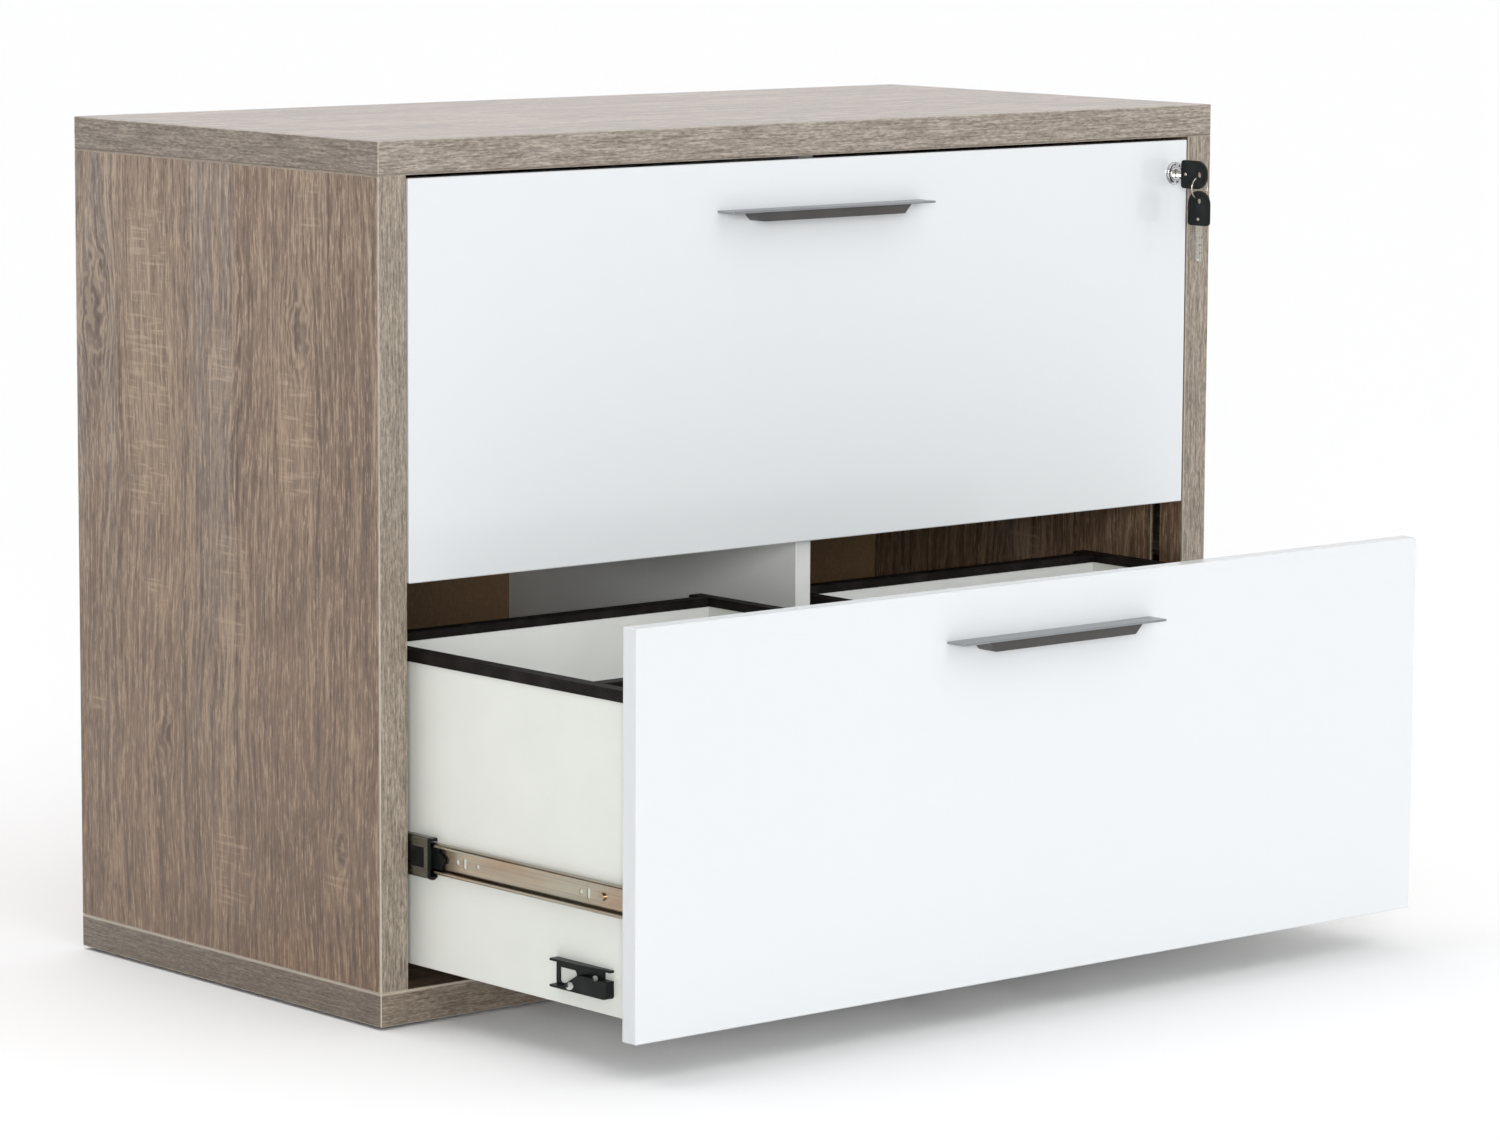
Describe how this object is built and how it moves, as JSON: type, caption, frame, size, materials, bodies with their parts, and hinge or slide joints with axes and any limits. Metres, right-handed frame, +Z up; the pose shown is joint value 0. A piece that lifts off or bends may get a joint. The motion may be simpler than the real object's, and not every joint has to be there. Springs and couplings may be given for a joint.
{
  "type": "office drawer unit",
  "caption": "Low lateral filing drawer unit with gloss fronts, twin file boxes in each drawer on ball-bearing slides, edge handles and a cam lock driving a lock bar.",
  "frame": {"origin": "centre of the footprint of the carcass on the floor, at the underside of the centre glide", "axes": "+Z up, -Y out of the front, +X to the right as seen from the front, along the unit's width"},
  "size_m": [1, 0.79, 0.771],
  "materials": {
    "laminate": "matt grey-brown oak laminate",
    "white_board": "matt white laminate",
    "box_board": "matt off-white laminate",
    "dark_board": "matt dark brown board",
    "packer": "raw board",
    "dowel": "raw beech",
    "gloss_front": "high-gloss white lacquer",
    "zinc_steel": "zinc-plated",
    "black_plastic": "moulded black",
    "file_rail": "extruded black-brown",
    "handle_metal": "brushed",
    "lock_chrome": "polished",
    "key_plastic": "black key head, nickel blade",
    "ring_wire": "bright wire"
  },
  "bodies": {
    "carcass": {"top_panel": "laminate", "bottom_panel": "laminate", "left_side_panel": "laminate", "right_side_panel": "laminate", "centre_divider": "white_board", "back_panel": "dark_board", "floor_glides": "black_plastic", "carcass_dowels": "dowel", "cam_fittings": "zinc_steel", "divider_packers": "packer", "cabinet_rail_screws": "zinc_steel", "upper_left_cabinet_rails": "zinc_steel", "upper_right_cabinet_rails": "zinc_steel", "lower_left_cabinet_rails": "zinc_steel", "lower_right_cabinet_rails": "zinc_steel"},
    "upper_middle": {"upper_left_middle_rails": "zinc_steel", "upper_right_middle_rails": "zinc_steel", "upper_rail_bumpers": "black_plastic"},
    "upper_outer_cages": {"upper_outer_ball_cages": "zinc_steel"},
    "upper_inner_cages": {"upper_inner_ball_cages": "zinc_steel"},
    "upper_drawer": {"upper_left_drawer_rails": "zinc_steel", "upper_right_drawer_rails": "zinc_steel", "upper_release_levers": "black_plastic", "upper_front": "gloss_front", "upper_handle": "handle_metal", "upper_left_box_sides": "box_board", "upper_right_box_sides": "box_board", "upper_box_walls": "box_board", "upper_box_bottoms": "box_board", "upper_file_rails": "file_rail", "upper_catches": "black_plastic", "upper_drawer_screws": "zinc_steel", "upper_front_fittings": "zinc_steel", "lock_housing": "lock_chrome"},
    "lower_middle": {"lower_left_middle_rails": "zinc_steel", "lower_right_middle_rails": "zinc_steel", "lower_rail_bumpers": "black_plastic"},
    "lower_outer_cages": {"lower_outer_ball_cages": "zinc_steel"},
    "lower_inner_cages": {"lower_inner_ball_cages": "zinc_steel"},
    "lower_drawer": {"lower_left_drawer_rails": "zinc_steel", "lower_right_drawer_rails": "zinc_steel", "lower_release_levers": "black_plastic", "lower_front": "gloss_front", "lower_handle": "handle_metal", "lower_left_box_sides": "box_board", "lower_right_box_sides": "box_board", "lower_box_walls": "box_board", "lower_box_bottoms": "box_board", "lower_file_rails": "file_rail", "lower_catches": "black_plastic", "lower_drawer_screws": "zinc_steel", "lower_front_fittings": "zinc_steel"},
    "lock_plug": {"lock_plug": "lock_chrome", "lock_cam": "zinc_steel", "key": "key_plastic"},
    "key_ring": {"key_ring": "ring_wire"},
    "spare_key": {"spare_key": "key_plastic"},
    "lock_bar": {"lock_bar": "zinc_steel"},
    "anti_tilt_bar": {"anti_tilt_bar": "zinc_steel"}
  },
  "joints": [
    {"name": "upper_middle_slide", "type": "slide", "parent": "carcass", "child": "upper_middle", "axis": [0, -1, 0], "range_m": [0, 0.143]},
    {"name": "upper_drawer_slide", "type": "slide", "parent": "upper_middle", "child": "upper_drawer", "axis": [0, -1, 0], "range_m": [0, 0.257]},
    {"name": "upper_outer_cage_roll", "type": "slide", "parent": "carcass", "child": "upper_outer_cages", "axis": [0, -1, 0], "range_m": [0, 0.0715]},
    {"name": "upper_inner_cage_roll", "type": "slide", "parent": "upper_middle", "child": "upper_inner_cages", "axis": [0, -1, 0], "range_m": [0, 0.1285]},
    {"name": "lower_middle_slide", "type": "slide", "parent": "carcass", "child": "lower_middle", "axis": [0, -1, 0], "range_m": [-0.051, 0.092]},
    {"name": "lower_drawer_slide", "type": "slide", "parent": "lower_middle", "child": "lower_drawer", "axis": [0, -1, 0], "range_m": [-0.257, 0]},
    {"name": "lower_outer_cage_roll", "type": "slide", "parent": "carcass", "child": "lower_outer_cages", "axis": [0, -1, 0], "range_m": [-0.0255, 0.046]},
    {"name": "lower_inner_cage_roll", "type": "slide", "parent": "lower_middle", "child": "lower_inner_cages", "axis": [0, -1, 0], "range_m": [-0.1285, 0]},
    {"name": "lock_turn", "type": "hinge", "parent": "upper_drawer", "child": "lock_plug", "pos_m": [0.451, -0.23, 0.7065], "axis": [0, 1, 0], "range_deg": [0, 90]},
    {"name": "ring_swing", "type": "hinge", "parent": "lock_plug", "child": "key_ring", "pos_m": [0.451, -0.2645, 0.7065], "axis": [1, 0, 0], "range_deg": [-30, 12]},
    {"name": "spare_swing", "type": "hinge", "parent": "key_ring", "child": "spare_key", "pos_m": [0.451, -0.2645, 0.6839], "axis": [1, 0, 0], "range_deg": [-15, 12]},
    {"name": "lock_bar_drop", "type": "slide", "parent": "carcass", "child": "lock_bar", "axis": [0, 0, 1], "range_m": [-0.008, 0]},
    {"name": "anti_tilt_drop", "type": "slide", "parent": "carcass", "child": "anti_tilt_bar", "axis": [0, 0, 1], "range_m": [-0.008, 0]}
  ],
  "couplings": [
    {"joint": "upper_outer_cage_roll", "follows": "upper_middle_slide", "ratio": 0.5},
    {"joint": "upper_inner_cage_roll", "follows": "upper_drawer_slide", "ratio": 0.5},
    {"joint": "lower_outer_cage_roll", "follows": "lower_middle_slide", "ratio": 0.5},
    {"joint": "lower_inner_cage_roll", "follows": "lower_drawer_slide", "ratio": 0.5},
    {"joint": "lock_turn", "follows": "lock_bar_drop", "rad_per_m": -196.3}
  ]
}
